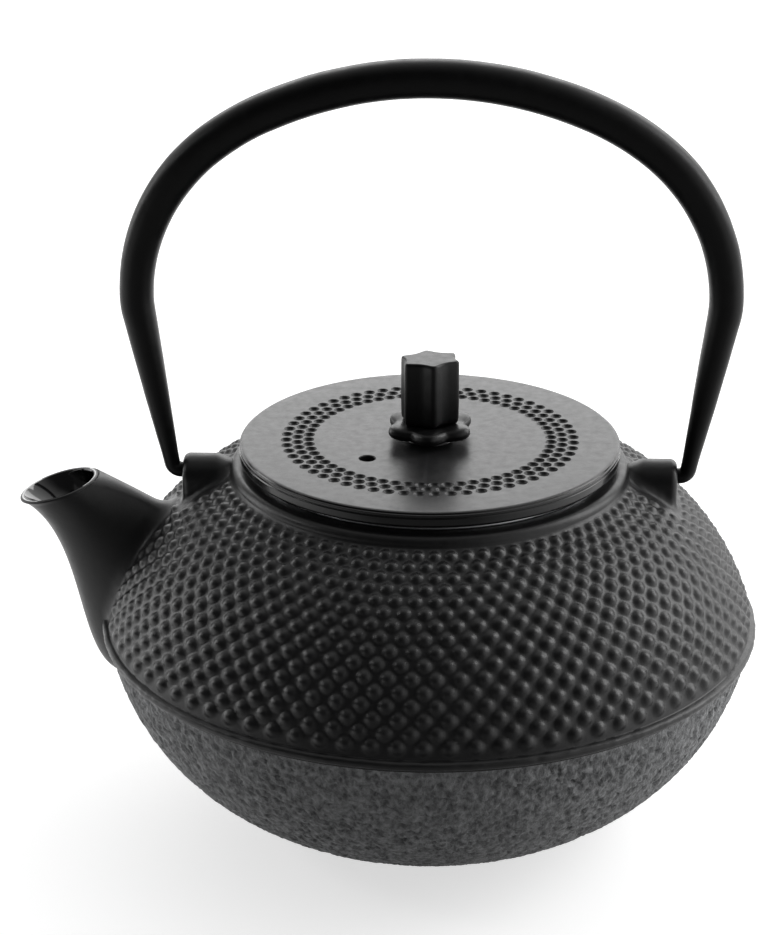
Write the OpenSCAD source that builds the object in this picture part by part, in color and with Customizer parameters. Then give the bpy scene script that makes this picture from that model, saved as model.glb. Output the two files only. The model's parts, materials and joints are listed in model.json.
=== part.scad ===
// Cast-iron teapot: a hobnailed pot with a spout, a bail handle that swings
// between two lugs, a flat lid with a star knob, and a steel tea infuser.
// Millimetres, +Z up. The origin is the middle of the flat base.
// The spout points to -X and the bail swings about the X axis.

/* [Pot] */
// Height of the casting seam above the base
seam_z = 50; // [48:0.5:52]
// Radius of the pot's wall at the seam
seam_r = 81.2; // [80:0.2:83]
// Radius of the thin ridge along the seam
ridge_r = 82.5; // [82.2:0.1:83.6]
// Thickness of the cast wall
wall = 3.2; // [2.8:0.1:3.2]
// Height of the flat neck ring above the base
neck_z = 92.2; // [91.6:0.1:93]
// Outer radius of the neck ring
neck_r = 49.3; // [48.5:0.1:50]
// Radius of the pot's mouth
mouth_r = 40.2; // [40:0.1:40.6]
// Radius of the flat base
base_r = 35; // [33:0.5:36]

/* [Spout] */
// Half width of the spout at its lip
lip_half = 9.6; // [9:0.1:10]
// How much wider each side of the spout is at its root
root_flare = 4.5; // [4:0.5:6]
// How much narrower each side of the spout is half way along
waist = 1.6; // [1:0.1:2]
// Thickness of the spout's lip
lip_wall = 1.2; // [1:0.1:1.5]

/* [Lugs] */
// Distance from the pot's axis to a lug's outer face
lug_face = 61.3; // [61:0.1:61.4]
// Height of the handle's pivot above the base
pivot_z = 88.5; // [88.2:0.1:88.8]
// Height of a lug's top above the base
lug_top = 92.6; // [92.4:0.1:93]
// Width of a lug
lug_w = 11.6; // [11:0.2:13]
// Depth of the blind bore in a lug
bore_depth = 8; // [7:0.2:8.4]

/* [Handle] */
// Height of the bail's centreline above the base, at its top
bail_top = 188.6; // [188.4:0.1:188.8]
// Half thickness of the bail at its top
bail_half = 4.6; // [4:0.1:5]
// Radius of the pins at the bail's ends
pin_r = 1.9; // [1.8:0.05:2]
// Gap between a pin and its bore, on the radius
pin_gap = 0.06; // [0.03:0.01:0.1]

/* [Lid] */
// Radius of the lid
lid_r = 47.1; // [46.5:0.1:47.5]
// Height of the lid's top above the base
lid_z = 97.8; // [97.6:0.1:98.4]
// Thickness of the lid's edge
lid_edge = 4; // [3.6:0.1:4.2]
// Radius of the steam hole
steam_r = 1.95; // [1.7:0.05:2.2]
// Distance from the lid's middle to the steam hole
steam_at = 20.3; // [18:0.1:22]

/* [Knob] */
// Radius of the star knob over its points
knob_r = 7.7; // [7.2:0.1:8]
// Radius of the star knob at the notches between its points
notch_r = 5.6; // [5.2:0.1:6]
// Height of the knob's top above the base
knob_z = 118.7; // [116:0.5:120]
// Turn of the star about the pot's axis, in degrees
knob_turn = 11; // [0:1:30]
// Number of petals on the seat under the knob
petals = 6; // [5:1:8]

/* [Infuser] */
// Thickness of the infuser's sheet
sheet = 0.5; // [0.4:0.05:0.6]
// Outer radius of the infuser's rim
rim_r = 44.3; // [43.5:0.1:45]
// Outer radius of the infuser's wall
basket_r = 39.1; // [38.9:0.1:39.1]
// Depth of the infuser below the neck ring
basket_d = 47; // [40:1:50]

/* [Hidden] */
$fn = 96;
eps = 0.01;
gap = 0.1;
arc_steps = 18;

// The wall is a low bowl arc under the seam and a shoulder arc above it.
// Each arc's centre is [radius, height], and both meet the wall at the seam.
bowl_c = [22, seam_z + 8.5];
bowl_R = sqrt(pow(seam_r - bowl_c[0], 2) + pow(seam_z - bowl_c[1], 2));
shoulder_c = [25, seam_z - 13];
shoulder_R = sqrt(pow(seam_r - shoulder_c[0], 2) + pow(seam_z - shoulder_c[1], 2));
ridge_half = 0.7;
floor_z = wall;
neck_root_r = 51.8;
neck_round = 1.3;

// Planes that part the casting into bowl, shoulder and spout: one through
// the seam's ridge, and the inner end and sides of a box about the spout.
split_z = seam_z - 0.35;
split_x = -62;
split_y = 17;

// Curves of the spout's upper and lower outline, each with four control
// points [x, height above the seam], from the lip to the root.
top_line = [[-83, 36.9], [-78, 35.4], [-70, 31], [-58, 23.5]];
under_line = [[-102.7, 31], [-84.5, 20.5], [-92, -19], [-75.5, -17]];
// The same two curves for the channel inside the spout.
roof_line = [[-84.2, 36.5], [-79, 34], [-71, 29], [-58, 20]];
floor_line = [[-101.5, 31.4], [-86.5, 22.5], [-90, 11], [-74, 4]];
// The last ring of the spout and of its channel, inside the pot's cavity.
root_ring = [[-50, 20], [-68, -2]];
drain_ring = [[-48, 17], [-62, 6]];
spout_rings = 12;
spout_sides = 24;

// Half of the bail from its top to the right-hand bend, as arcs
// [radius, turn in degrees], and then a straight leg and a tight hook.
bail_arcs = [[96, 25], [63, 13.5], [48.5, 50.5], [26, 11]];
bail_leg = 40;
hook_R = 2.4;
bail_sides = 16;

under_lid = 92.9;
skirt_r = 37.9;
skirt_w = 2.7;
skirt_z = 87.9;
seat_r = 44.5;
tail_r = 2.5;
seat_top = 102.5;
steam_turn = 223;
washer_r = 5;
washer_t = 1;

// --- helpers -------------------------------------------------------------

// Points on an arc about c, between two angles from the horizontal.
function arc(c, R, a0, a1, n = arc_steps) =
    [for (i = [0:n]) let (a = a0 + (a1 - a0) * i / n)
        c + R * [cos(a), sin(a)]];

// Angle at which an arc about c reaches a height, or a radius.
function at_z(c, R, z) = asin((z - c[1]) / R);
function at_r(c, R, r) = acos((r - c[0]) / R);

// A point on a cubic Bezier curve.
function bezier(p, t) = pow(1 - t, 3) * p[0] + 3 * t * pow(1 - t, 2) * p[1]
    + 3 * t * t * (1 - t) * p[2] + pow(t, 3) * p[3];

// Half width of the spout at a share t of the way along it.
function spout_half(t) = lip_half - waist * 4 * t * (1 - t) + root_flare * t * t;

// An elliptic ring of the spout, whose long axis runs from low to high.
function spout_ring(high, low, half) = [for (i = [0:spout_sides - 1])
    let (a = 360 * i / spout_sides, c = (high + low) / 2, e = (high - low) / 2)
        [c[0] + e[0] * cos(a), half * sin(a), seam_z + c[1] + e[1] * cos(a)]];

// Closed skin over a list of rings that all have the same number of points.
module skin(rings) {
    n = len(rings[0]);
    m = len(rings);
    sides = [for (j = [0:m - 2], i = [0:n - 1])
        let (a = j * n + i, b = j * n + (i + 1) % n)
            each [[a, b, b + n], [a, b + n, a + n]]];
    ends = [[for (i = [0:n - 1]) n - 1 - i], [for (i = [0:n - 1]) (m - 1) * n + i]];
    polyhedron([for (r = rings) each r], concat(sides, ends), convexity = 6);
}

// Flat ring standing on z.
module ring(r_out, r_in, z, h) {
    translate([0, 0, z]) difference() {
        cylinder(r = r_out, h = h);
        translate([0, 0, -1]) cylinder(r = r_in, h = h + 2);
    }
}

// --- pot -----------------------------------------------------------------

// Solid of revolution inside the pot's outer surface.
module pot_outside() {
    neck_c = [neck_r - neck_round, neck_z - neck_round];
    root_a = at_r(shoulder_c, shoulder_R, neck_root_r);
    root_z = shoulder_c[1] + shoulder_R * sin(root_a);
    rotate_extrude() polygon(concat(
        [[0, 0], [base_r, 0]],
        arc(bowl_c, bowl_R, at_z(bowl_c, bowl_R, 0.1),
            at_z(bowl_c, bowl_R, seam_z - 1.2)),
        [[ridge_r, seam_z - ridge_half], [ridge_r, seam_z + ridge_half]],
        arc(shoulder_c, shoulder_R,
            at_z(shoulder_c, shoulder_R, seam_z + 1.4), root_a),
        [[(neck_root_r + neck_r) / 2 - 0.3, (root_z + neck_c[1]) / 2 - 0.4]],
        arc(neck_c, neck_round, 0, 90, 5),
        [[0, neck_z]]));
}

// Solid of revolution that fills the pot's cavity and its mouth.
module pot_inside() {
    rotate_extrude() polygon(concat(
        [[0, floor_z]],
        arc(bowl_c, bowl_R - wall, at_z(bowl_c, bowl_R - wall, floor_z),
            at_z(bowl_c, bowl_R - wall, seam_z)),
        arc(shoulder_c, shoulder_R - wall,
            at_z(shoulder_c, shoulder_R - wall, seam_z + 1),
            at_r(shoulder_c, shoulder_R - wall, mouth_r)),
        [[mouth_r, neck_z + 1], [0, neck_z + 1]]));
}

module spout_outside() {
    skin(concat(
        [for (j = [0:spout_rings]) let (t = j / spout_rings)
            spout_ring(bezier(top_line, t), bezier(under_line, t),
                spout_half(t))],
        [spout_ring(root_ring[0], root_ring[1], lip_half + root_flare)]));
}

// The channel runs out past the lip, square to its plane.
module spout_channel() {
    half = lip_half - lip_wall;
    across = roof_line[0] - floor_line[0];
    out = 2 * [-across[1], across[0]] / norm(across);
    skin(concat(
        [spout_ring(roof_line[0] + out, floor_line[0] + out, half)],
        [for (j = [0:spout_rings]) let (t = j / spout_rings)
            spout_ring(bezier(roof_line, t), bezier(floor_line, t),
                spout_half(t) - lip_wall - root_flare * t * t / 2)],
        [spout_ring(drain_ring[0], drain_ring[1], half)]));
}

// Lug on the +X side: an arched block whose inner end slopes to the neck.
module lug() {
    crown_z = lug_top - lug_w / 2;
    foot_z = seam_z + 28;
    inner = neck_r - 6;
    slope = neck_r + 1.4;
    intersection() {
        translate([inner, 0, 0]) rotate([90, 0, 90])
            linear_extrude(lug_face - inner) union() {
                translate([0, crown_z]) circle(d = lug_w);
                translate([-lug_w / 2, foot_z]) square([lug_w, crown_z - foot_z]);
            }
        rotate([90, 0, 0]) translate([0, 0, -lug_w]) linear_extrude(2 * lug_w)
            polygon([[inner, foot_z], [lug_face, foot_z], [lug_face, lug_top + 1],
                [slope - 1, lug_top + 1], [inner, lug_top - slope + inner]]);
    }
}

module lug_bore() {
    translate([lug_face - bore_depth, 0, pivot_z]) rotate([0, 90, 0])
        cylinder(r = pin_r + pin_gap, h = bore_depth + 2);
}

// The whole casting: the pot, its spout and its lugs.
module casting() {
    difference() {
        union() {
            pot_outside();
            spout_outside();
            for (turn = [0, 180]) rotate([0, 0, turn]) lug();
        }
        pot_inside();
        spout_channel();
        for (turn = [0, 180]) rotate([0, 0, turn]) lug_bore();
    }
}

module below_seam() {
    translate([-150, -100, split_z - 100]) cube([300, 200, 100]);
}

module about_spout() {
    translate([split_x - 80, -split_y, split_z]) cube([80, 2 * split_y, 80]);
}

module pot_bowl() {
    color([0.1, 0.1, 0.105]) intersection() {
        casting();
        below_seam();
    }
}

module pot_shoulder() {
    color([0.07, 0.07, 0.075]) difference() {
        casting();
        below_seam();
        about_spout();
    }
}

module pot_spout() {
    color([0.08, 0.08, 0.085]) intersection() {
        casting();
        about_spout();
    }
}

// --- handle --------------------------------------------------------------

// Stations [x, z, heading, travel] along one half of the bail. The heading
// is in degrees below the horizontal.
function bend(s, R, turn, n) = [for (i = [1:n]) let (h = s[2], g = h + turn * i / n)
    [s[0] + R * (sin(g) - sin(h)), s[1] + R * (cos(g) - cos(h)), g,
     s[3] + R * (g - h) * PI / 180]];
function run(s, d, n) = [for (i = [1:n]) let (k = d * i / n)
    [s[0] + k * cos(s[2]), s[1] - k * sin(s[2]), s[2], s[3] + k]];
function last(v) = v[len(v) - 1];
function join_bends(v, arcs, k = 0) = k == len(arcs) ? v :
    join_bends(concat(v, bend(last(v), arcs[k][0], arcs[k][1], 7)), arcs, k + 1);

crown = [[0, bail_top, 0, 0]];
shoulders = join_bends(crown, bail_arcs);
legs = concat(shoulders, run(last(shoulders), bail_leg, 6));
half_bail = concat(legs, bend(last(legs), hook_R, 180 - last(legs)[2], 6));
bail_length = last(half_bail)[3];

// Half thickness of the bar at a share of the way from its top to its end.
function bar_half(k) = k < 0.45 ? bail_half :
    k < 0.7 ? bail_half - (bail_half - 4.1) * (k - 0.45) / 0.25 :
    k < 0.85 ? 4.1 - 1.1 * (k - 0.7) / 0.15 :
    k < 0.96 ? 3 - (3 - pin_r - 0.1) * (k - 0.85) / 0.11 : pin_r;

// Section of the bar, a little wider across the bail's plane than in it.
function bar_ring(s, side) = let (k = s[3] / bail_length, a = bar_half(k),
        b = a * (k < 0.8 ? 1.06 : 1))
    [for (i = [0:bail_sides - 1]) let (u = 360 * i / bail_sides)
        [side * (s[0] + a * cos(u) * sin(s[2])), b * sin(u),
         s[1] + a * cos(u) * cos(s[2])]];

module handle() {
    n = len(half_bail);
    left = [for (i = [n - 1:-1:1]) bar_ring(half_bail[i], -1)];
    right = [for (i = [0:n - 1]) bar_ring(half_bail[i], 1)];
    pin_in = lug_face - bore_depth + 0.5;
    pin_out = last(half_bail)[0] + 0.3;
    color([0.05, 0.05, 0.05]) union() {
        skin(concat(left, right));
        for (side = [-1, 1])
            translate([side * pin_out, 0, pivot_z]) rotate([0, -side * 90, 0])
                cylinder(r = pin_r, h = pin_out - pin_in);
    }
}

// --- lid -----------------------------------------------------------------

module lid() {
    color([0.1, 0.1, 0.1]) difference() {
        rotate_extrude() polygon([
            [0, under_lid + 1], [skirt_r - skirt_w, under_lid + 1],
            [skirt_r - skirt_w, skirt_z], [skirt_r, skirt_z],
            [skirt_r, under_lid], [seat_r, under_lid],
            [seat_r, lid_z - lid_edge], [lid_r - 0.4, lid_z - lid_edge],
            [lid_r, lid_z - lid_edge + 0.4], [lid_r, lid_z - 0.8],
            [lid_r - 0.8, lid_z], [0, lid_z]]);
        translate([0, 0, under_lid]) cylinder(r = tail_r + gap, h = 8);
        rotate([0, 0, steam_turn]) translate([steam_at, 0, under_lid])
            cylinder(r = steam_r, h = 8, $fn = 48);
    }
}

// --- knob ----------------------------------------------------------------

// Star prism, with a tail that is peened over the washer under the lid.
module knob() {
    wide = 1.06;
    deep = 0.86;
    peen_z = under_lid + 1 - washer_t - gap;
    color([0.06, 0.06, 0.06]) union() {
        translate([0, 0, seat_top]) rotate([0, 0, knob_turn])
            linear_extrude(knob_z - seat_top) polygon([for (i = [0:11])
                let (r = i % 2 == 0 ? knob_r : notch_r, a = 30 * i - 90)
                    [wide * r * cos(a), deep * r * sin(a)]]);
        translate([0, 0, peen_z]) cylinder(r = tail_r, h = seat_top - peen_z + 1);
        translate([0, 0, peen_z - 1]) cylinder(r1 = 2.8, r2 = 3.4, h = 1 + eps);
    }
}

// Round foot that carries a thin rosette of petals.
module knob_seat() {
    petal_z = seat_top - 1.3;
    color([0.08, 0.08, 0.08]) difference() {
        union() {
            translate([0, 0, lid_z]) cylinder(r = 7, h = petal_z - lid_z);
            translate([0, 0, petal_z - 1.1]) cylinder(r = 8.2, h = 2.4);
            for (i = [0:petals - 1]) rotate([0, 0, 360 * (i + 0.5) / petals])
                translate([9.2, 0, petal_z]) scale([1.1, 1.2, 0.6])
                    sphere(r = 2, $fn = 32);
        }
        translate([0, 0, lid_z - 1]) cylinder(r = tail_r + gap, h = 10);
    }
}

module knob_washer() {
    color([0.6, 0.6, 0.62])
        ring(washer_r, tail_r + gap, under_lid + 1 - washer_t, washer_t);
}

// --- infuser -------------------------------------------------------------

module infuser_rim() {
    color([0.75, 0.76, 0.78]) ring(rim_r, basket_r - sheet, neck_z, sheet + 0.1);
}

module infuser_wall() {
    color([0.7, 0.71, 0.73])
        ring(basket_r, basket_r - sheet, neck_z - basket_d, basket_d);
}

// Hoop that grips the foot of the wall and holds the base from below.
module infuser_hoop() {
    low = neck_z - basket_d - sheet;
    color([0.75, 0.76, 0.78]) union() {
        ring(basket_r + gap / 2 + sheet, basket_r + gap / 2, low, 6);
        ring(basket_r + gap / 2 + sheet, basket_r - 4, low, sheet);
    }
}

module infuser_base() {
    color([0.7, 0.71, 0.73]) translate([0, 0, neck_z - basket_d])
        cylinder(r = basket_r - sheet - gap / 2, h = sheet);
}

pot_bowl();
pot_shoulder();
pot_spout();
handle();
lid();
knob();
knob_seat();
knob_washer();
infuser_rim();
infuser_wall();
infuser_hoop();
infuser_base();
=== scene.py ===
import json
import math

import bmesh
import bpy
import numpy as np
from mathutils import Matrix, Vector


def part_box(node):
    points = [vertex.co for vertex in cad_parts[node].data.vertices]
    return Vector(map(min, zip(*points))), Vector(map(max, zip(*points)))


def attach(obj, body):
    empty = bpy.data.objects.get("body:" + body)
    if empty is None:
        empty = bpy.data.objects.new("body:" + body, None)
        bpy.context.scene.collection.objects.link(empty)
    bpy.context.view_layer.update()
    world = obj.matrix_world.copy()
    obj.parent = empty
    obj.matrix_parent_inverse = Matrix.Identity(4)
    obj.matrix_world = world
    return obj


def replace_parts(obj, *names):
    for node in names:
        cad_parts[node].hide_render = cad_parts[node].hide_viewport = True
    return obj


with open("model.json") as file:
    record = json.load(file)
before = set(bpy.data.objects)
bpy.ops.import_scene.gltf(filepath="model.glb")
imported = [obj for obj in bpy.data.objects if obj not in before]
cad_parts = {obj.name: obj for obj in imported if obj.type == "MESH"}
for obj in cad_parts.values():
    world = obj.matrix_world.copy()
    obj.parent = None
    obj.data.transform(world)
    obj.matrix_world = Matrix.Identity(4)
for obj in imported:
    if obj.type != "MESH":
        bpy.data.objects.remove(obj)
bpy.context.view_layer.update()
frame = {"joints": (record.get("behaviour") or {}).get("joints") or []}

# Looks of a cast-iron teapot. Shapes are worked out in millimetres, with the
# frame's own axes, and turned into metres as each mesh is made.
MM = 0.001


def box_mm(node):
    """Lowest and highest corner of a CAD node, in millimetres."""
    low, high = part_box(node)
    return np.array(low) / MM, np.array(high) / MM


# --- sizes -------------------------------------------------------------------

bowl_high = box_mm("pot_bowl")[1]
shoulder_high = box_mm("pot_shoulder")[1]
lid_low, lid_high = box_mm("lid")
knob_low, knob_high = box_mm("knob")
seat_low, seat_high = box_mm("knob_seat")
handle_high = box_mm("handle")[1]
swing = next(j for j in frame["joints"] if j["name"] == "handle_swing")

SEAM_Z = bowl_high[2] + 0.35
RIDGE_R = shoulder_high[1]
SEAM_R = RIDGE_R - 1.3
PIVOT_Z = swing["pos_m"][2] / MM
LUG_TOP = shoulder_high[2]
NECK_Z = LUG_TOP - 0.4
NECK_R = 49.3
NECK_ROOT_R = 51.8
NECK_ROUND = 2.0
MOUTH_R = 40.2
BASE_R = 35.0
WALL = 3.2

SHOULDER_C = np.array([25.0, SEAM_Z - 13.0])
SHOULDER_R = math.hypot(SEAM_R - SHOULDER_C[0], SEAM_Z - SHOULDER_C[1])
BOWL_C = np.array([22.0, SEAM_Z + 8.5])
BOWL_R = math.hypot(SEAM_R - BOWL_C[0], SEAM_Z - BOWL_C[1])

# Nails: staggered rows from just above the seam to the neck, as angles on
# the shoulder's arc, with the same number of nails in each row.
NAILS = 84
NAIL_ROWS = 16
NAIL_FIRST = 17.0
NAIL_LAST = 63.2
NAIL_H = 0.95
NAIL_PHASE = 1.1
COLUMNS = NAILS * 10

# Parting of the pot's skin: seam bead, nailed shoulder and neck.
BEAD_HALF = 1.25
NAILED_FROM = 14.45
NAILED_TO = 65.0
SKIN = 1.3

# --- mesh helpers ------------------------------------------------------------


def finish_mesh(obj, sharp):
    """Outward normals, smooth faces, and crisp edges above an angle."""
    work = bmesh.new()
    work.from_mesh(obj.data)
    bmesh.ops.remove_doubles(work, verts=work.verts, dist=1e-6)
    bmesh.ops.recalc_face_normals(work, faces=work.faces)
    work.to_mesh(obj.data)
    work.free()
    mesh = obj.data
    mesh.polygons.foreach_set("use_smooth", [True] * len(mesh.polygons))
    mesh.set_sharp_from_angle(angle=math.radians(sharp))
    mesh.update()


def new_object(name, points, faces, sharp=38.0):
    """Mesh object from points in millimetres."""
    mesh = bpy.data.meshes.new(name)
    mesh.from_pydata((np.asarray(points, float) * MM).tolist(), [], faces)
    obj = bpy.data.objects.new(name, mesh)
    bpy.context.scene.collection.objects.link(obj)
    finish_mesh(obj, sharp)
    return obj


def grid_faces(rows, cols, closed=True):
    """Quads of a grid whose columns run right round. Its rows may too."""
    r = np.arange(rows if closed else rows - 1)[:, None]
    c = np.arange(cols)
    near = r * cols
    far = (r + 1) % rows * cols
    ahead = (c + 1) % cols
    quads = np.stack([near + c, near + ahead, far + ahead, far + c], -1)
    return quads.reshape(-1, 4).tolist()


def loft(name, rings, closed=True, sharp=38.0, caps=(0, 1)):
    """Skin over rings of points. Unless closed, its ends are capped."""
    rings = np.asarray(rings, float)
    rows, cols = rings.shape[:2]
    points = rings.reshape(-1, 3)
    faces = grid_faces(rows, cols, closed)
    if not closed:
        for hub, end in enumerate(caps, rows * cols):
            start = end * (rows - 1) * cols
            points = np.vstack([points, rings[-end].mean(0)])
            faces += [[start + c, start + (c + 1) % cols, hub] for c in range(cols)]
    return new_object(name, points, faces, sharp)


def turned(profile, cols, shift=0.0):
    """Rings made by turning [radius, height] points about the pot's axis."""
    profile = np.asarray(profile, float)
    angle = np.radians(np.arange(cols) * 360.0 / cols + shift)
    ring = np.stack([np.cos(angle), np.sin(angle)], -1)
    flat = profile[:, None, :1] * ring[None]
    height = np.broadcast_to(profile[:, None, 1:], flat.shape[:2] + (1,))
    return np.concatenate([flat, height], -1)


def lathe(name, profile, cols=240, sharp=38.0):
    """Turned solid. A profile that starts on the axis is capped there."""
    profile = np.asarray(profile, float)
    on_axis = profile[0, 0] < 1e-6
    if on_axis:
        profile = profile[1:-1]
    return loft(name, turned(profile, cols), not on_axis, sharp)


def rounded(corners, steps=5, closed=True):
    """Outline with each [x, y, radius] corner cut by a curve."""
    corners = np.asarray(corners, float)
    count = len(corners)
    out = []
    for i, (x, y, cut) in enumerate(corners):
        here = np.array([x, y])
        if cut <= 0 or (not closed and i in (0, count - 1)):
            out.append(here)
            continue
        before = corners[i - 1, :2] - here
        after = corners[(i + 1) % count, :2] - here
        a = here + before / np.linalg.norm(before) * cut
        b = here + after / np.linalg.norm(after) * cut
        for t in np.linspace(0, 1, steps + 1):
            out.append((1 - t) ** 2 * a + 2 * t * (1 - t) * here + t * t * b)
    return np.array(out)


def smooth_line(points, steps):
    """Catmull-Rom curve through points."""
    p = np.asarray(points, float)
    p = np.vstack([2 * p[0] - p[1], p, 2 * p[-1] - p[-2]])
    out = []
    for i in range(1, len(p) - 2):
        for t in np.arange(steps) / steps:
            out.append(0.5 * (2 * p[i] + (p[i + 1] - p[i - 1]) * t
                              + (2 * p[i - 1] - 5 * p[i] + 4 * p[i + 1] - p[i + 2]) * t * t
                              + (3 * p[i] - p[i - 1] - 3 * p[i + 1] + p[i + 2]) * t ** 3))
    out.append(p[-2])
    return np.array(out)


def bezier(p, t):
    """Points on a cubic Bezier curve with four control points."""
    p = np.asarray(p, float)
    t = np.asarray(t, float)[..., None]
    return ((1 - t) ** 3 * p[0] + 3 * t * (1 - t) ** 2 * p[1]
            + 3 * t * t * (1 - t) * p[2] + t ** 3 * p[3])


def smoothstep(low, high, x):
    t = np.clip((x - low) / (high - low), 0, 1)
    return t * t * (3 - 2 * t)


def lumps(points, size, seed):
    """Smooth random field between -1 and 1, with lumps about size across."""
    p = np.asarray(points, float) / size
    cell = np.floor(p).astype(np.int64)
    part = p - cell
    part = part * part * (3 - 2 * part)
    total = np.zeros(p.shape[:-1])
    for corner in np.ndindex(2, 2, 2):
        n = cell + np.array(corner)
        mix = (n[..., 0] * 73856093) ^ (n[..., 1] * 19349663) ^ (n[..., 2] * 83492791)
        mix = (mix ^ (seed * 2654435761)) & 0xFFFFFFFF
        mix = ((mix ^ (mix >> 13)) * 1274126177) & 0xFFFFFFFF
        mix = mix ^ (mix >> 16)
        weight = np.where(np.array(corner) == 1, part, 1 - part).prod(-1)
        total += weight * (mix / 0x7FFFFFFF - 1)
    return total


def punch(piece, cutter, sharp=38.0):
    """Cuts a closed cutter out of a closed piece."""
    cut = piece.modifiers.new("cut", "BOOLEAN")
    cut.operation = "DIFFERENCE"
    cut.solver = "MANIFOLD"
    cut.object = cutter
    seen = piece.evaluated_get(bpy.context.evaluated_depsgraph_get())
    mesh = bpy.data.meshes.new_from_object(seen)
    piece.modifiers.clear()
    piece.data = mesh
    bpy.data.objects.remove(cutter)
    finish_mesh(piece, sharp)


def drills(spots, axes, profile, sides):
    """One cutter made of turned plugs: profile holds [radius, travel] points."""
    points, faces = [], []
    angle = np.arange(sides) * 2 * math.pi / sides
    for spot, axis in zip(np.asarray(spots, float), np.asarray(axes, float)):
        axis = axis / np.linalg.norm(axis)
        side = np.cross(axis, [0.31, 0.52, 0.79])
        side /= np.linalg.norm(side)
        other = np.cross(axis, side)
        start = len(points)
        for radius, travel in profile:
            ring = np.outer(np.cos(angle), side) + np.outer(np.sin(angle), other)
            points.extend(spot + axis * travel + ring * radius)
        rows = len(profile)
        faces += [[start + v for v in f] for f in grid_faces(rows, sides, False)]
        faces.append([start + i for i in range(sides)])
        faces.append([start + (rows - 1) * sides + i for i in range(sides)])
    return new_object("cutter", points, faces)


# --- pot's outer surface -----------------------------------------------------


def on_shoulder(degrees):
    a = np.radians(degrees)
    return SHOULDER_C + SHOULDER_R * np.stack([np.cos(a), np.sin(a)], -1)


def on_bowl(degrees):
    a = np.radians(degrees)
    return BOWL_C + BOWL_R * np.stack([np.cos(a), np.sin(a)], -1)


def outer_profile():
    """Dense [radius, height] outline from the base's edge to the neck's top."""
    low = -math.degrees(math.asin((BOWL_C[1] - 0.6) / BOWL_R))
    high = -math.degrees(math.asin((BOWL_C[1] - SEAM_Z) / BOWL_R))
    seam = math.degrees(math.asin((SEAM_Z - SHOULDER_C[1]) / SHOULDER_R))
    root = math.degrees(math.acos((NECK_ROOT_R - SHOULDER_C[0]) / SHOULDER_R))
    bowl = on_bowl(np.linspace(low, high, 160))
    shoulder = on_shoulder(np.linspace(seam, root, 160))
    foot = shoulder[-1]
    slope = np.array([-math.sin(math.radians(root)), math.cos(math.radians(root))])
    corner = foot + slope * (foot[0] - NECK_R) / -slope[0] * 0.7
    top = np.array([NECK_R, NECK_Z - NECK_ROUND])
    t = np.linspace(0, 1, 30)[1:, None]
    neck = (1 - t) ** 2 * foot + 2 * t * (1 - t) * corner + t * t * top
    a = np.linspace(0, math.pi / 2, 9)[1:]
    edge = top + NECK_ROUND * np.stack([np.cos(a) - 1, np.sin(a)], -1)
    return np.vstack([bowl, shoulder[1:], neck, edge]), len(bowl) - 1


OUTER, SEAM_INDEX = outer_profile()
step = np.diff(OUTER, axis=0)
TRAVEL = np.concatenate([[0], np.cumsum(np.hypot(step[:, 0], step[:, 1]))])
TRAVEL -= TRAVEL[SEAM_INDEX]
slopes = np.gradient(OUTER, TRAVEL, axis=0)
OUTER_N = np.stack([slopes[:, 1], -slopes[:, 0]], -1)
OUTER_N /= np.linalg.norm(OUTER_N, axis=1)[:, None]


def shoulder_travel(degrees):
    """Distance along the outline above the seam of an angle on the arc."""
    seam = math.degrees(math.asin((SEAM_Z - SHOULDER_C[1]) / SHOULDER_R))
    return np.radians(degrees - seam) * SHOULDER_R


def at_travel(s):
    """Outline points and their outward normals at distances along it."""
    point = np.stack([np.interp(s, TRAVEL, OUTER[:, i]) for i in (0, 1)], -1)
    normal = np.stack([np.interp(s, TRAVEL, OUTER_N[:, i]) for i in (0, 1)], -1)
    return point, normal / np.linalg.norm(normal, axis=-1)[..., None]


def body_gap(points):
    """Distance outside the pot's smooth surface, and the normal there."""
    points = np.asarray(points, float)
    flat = np.stack([np.hypot(points[..., 0], points[..., 1]), points[..., 2]], -1)
    shape = flat.shape[:-1]
    flat = flat.reshape(-1, 2)
    gap = np.empty(len(flat))
    normal = np.empty((len(flat), 2))
    for i in range(0, len(flat), 4000):
        part = flat[i:i + 4000]
        near = ((part[:, None] - OUTER[None]) ** 2).sum(-1).argmin(1)
        normal[i:i + 4000] = OUTER_N[near]
        gap[i:i + 4000] = ((part - OUTER[near]) * OUTER_N[near]).sum(-1)
    around = points.reshape(-1, 3)[:, :2] / np.maximum(flat[:, :1], 1e-9)
    full = np.concatenate([around * normal[:, :1], normal[:, 1:]], -1)
    return gap.reshape(shape), full.reshape(shape + (3,))


def relief(s, cols, height, sink=SKIN):
    """Closed ring of skin: the outline between the distances s, raised by
    height, with a plain back inside the wall."""
    point, normal = at_travel(s)
    rings = turned(point, cols)
    angle = np.radians(np.arange(cols) * 360.0 / cols)
    ring = np.stack([np.cos(angle), np.sin(angle)], -1)
    away = np.concatenate([
        normal[:, None, :1] * ring[None],
        np.broadcast_to(normal[:, None, 1:], (len(s), cols, 1))], -1)
    front = rings + away * height(s, rings)[..., None]
    back_at = np.linspace(s[-1], s[0], 5)
    back, back_n = at_travel(back_at)
    return np.concatenate([front, turned(back - back_n * sink, cols)])


# --- places where the nails give way to the spout and the lugs ---------------

LUG_FACE = 61.3
LUG_HALF = 5.8
SPOUT_EDGE_Z = SEAM_Z + np.array([0.0, 3.0, 6.6, 9.5, 12.6, 19.5, 26.8, 29.0, 30.6])
SPOUT_EDGE_Y = np.array([15.5, 14.5, 13.0, 11.6, 10.6, 10.0, 9.4, 6.5, 0.0])


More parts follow.
